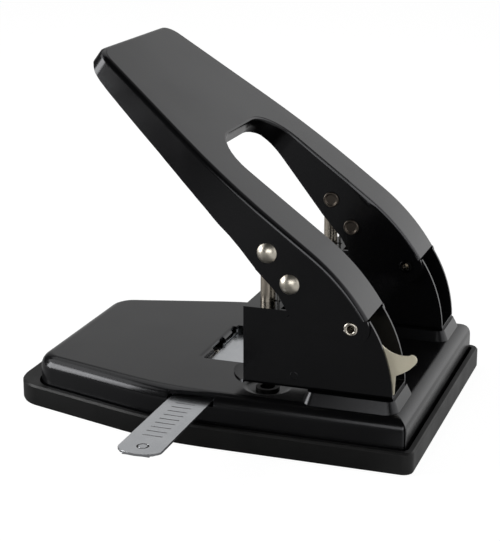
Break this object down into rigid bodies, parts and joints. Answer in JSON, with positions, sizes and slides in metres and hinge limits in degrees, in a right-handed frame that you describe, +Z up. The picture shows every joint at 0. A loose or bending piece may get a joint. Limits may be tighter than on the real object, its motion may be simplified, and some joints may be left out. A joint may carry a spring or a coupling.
{
  "type": "two-hole desk punch",
  "caption": "Lever-operated desk hole punch: folded steel handle, two riveted brackets with sliding punches, pressed base with paper ruler, lock lever and pull-off chip tray.",
  "frame": {"origin": "on the desk plane under the tray, midway between the two punch axes", "axes": "+X from the grip towards the rear where the handle pivots, +Y across towards the left bracket as the user sees it, +Z up"},
  "size_m": [0.1632, 0.1661, 0.1383],
  "materials": {
    "tray_rubber": "matte",
    "black_enamel": "gloss",
    "hardened_steel": "satin",
    "nickel_plate": "polished",
    "nickel_sheet": "satin",
    "spring_steel": "satin",
    "satin_steel": "satin",
    "zinc_sheet": "matte"
  },
  "bodies": {
    "base": {"base_body": "black_enamel", "die_right": "hardened_steel", "die_left": "hardened_steel", "bracket_right": "black_enamel", "bracket_left": "black_enamel", "bracket_rivets": "black_enamel", "pivot_pin_right": "nickel_plate", "pivot_pin_left": "nickel_plate", "return_spring_right": "spring_steel", "return_spring_left": "spring_steel", "latch_rivet": "black_enamel", "ruler_guide": "zinc_sheet", "ruler_spring": "spring_steel"},
    "lever": {"handle": "black_enamel", "press_pin_right": "nickel_plate", "press_pin_left": "nickel_plate", "stop_pin_right": "nickel_plate", "stop_pin_left": "nickel_plate"},
    "right_plunger": {"punch_right": "hardened_steel", "clip_right": "spring_steel"},
    "left_plunger": {"punch_left": "hardened_steel", "clip_left": "spring_steel"},
    "latch": {"lock_latch": "nickel_sheet"},
    "scale": {"ruler": "satin_steel"},
    "tray": {"base_cover": "tray_rubber"}
  },
  "joints": [
    {"name": "handle_hinge", "type": "hinge", "parent": "base", "child": "lever", "pos_m": [0.0341, 0, 0.049], "axis": [0, -1, 0], "range_deg": [0, 19], "stiffness_Nm_per_rad": 2.4, "springref_deg": -17.76},
    {"name": "punch_right_slide", "type": "slide", "parent": "base", "child": "right_plunger", "axis": [0, 0, -1], "range_m": [0, 0.0114], "deforming": ["return_spring_right"]},
    {"name": "punch_left_slide", "type": "slide", "parent": "base", "child": "left_plunger", "axis": [0, 0, -1], "range_m": [0, 0.0114], "deforming": ["return_spring_left"]},
    {"name": "latch_hinge", "type": "hinge", "parent": "base", "child": "latch", "pos_m": [0.013, 0, 0.0285], "axis": [0, -1, 0], "range_deg": [0, 7.5]},
    {"name": "ruler_slide", "type": "slide", "parent": "base", "child": "scale", "axis": [0, 1, 0], "range_m": [0, 0.033]},
    {"name": "tray_release", "type": "slide", "parent": "base", "child": "tray", "axis": [0, 0, -1], "range_m": [0, 0.03]}
  ],
  "couplings": [
    {"joint": "punch_right_slide", "follows": "handle_hinge", "m_per_rad": 0.03437},
    {"joint": "punch_left_slide", "follows": "handle_hinge", "m_per_rad": 0.03437}
  ]
}
